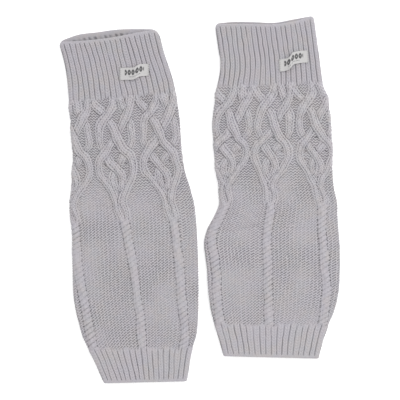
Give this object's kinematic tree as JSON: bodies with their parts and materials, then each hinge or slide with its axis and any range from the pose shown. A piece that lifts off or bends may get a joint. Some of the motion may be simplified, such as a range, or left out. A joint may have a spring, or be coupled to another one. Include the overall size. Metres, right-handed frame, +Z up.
{
  "type": "pair of knitted leg warmers",
  "caption": "Pair of tubular knitted leg warmers laid flat, with ribbed cuffs at both ends, a band of crossing cables and narrow cables running down the leg.",
  "frame": {"origin": "on the surface the pair lies on, under the middle of the pair's box", "axes": "+Z up out of the surface, +Y from the ankle cuffs to the top cuffs, +X from the left leg warmer to the right one"},
  "size_m": [0.3362, 0.442, 0.0119],
  "materials": {
    "heather_wool": "knitted pale lilac-grey heather wool, matt with a fine fuzz",
    "woven_label": "woven ribbon, pale grey, slight sheen"
  },
  "bodies": {
    "root": {"left_top_cuff": "heather_wool", "left_cable_band": "heather_wool", "left_leg": "heather_wool", "left_ankle_cuff": "heather_wool", "left_label": "woven_label", "right_top_cuff": "heather_wool", "right_cable_band": "heather_wool", "right_leg": "heather_wool", "right_ankle_cuff": "heather_wool", "right_label": "woven_label"}
  },
  "joints": []
}
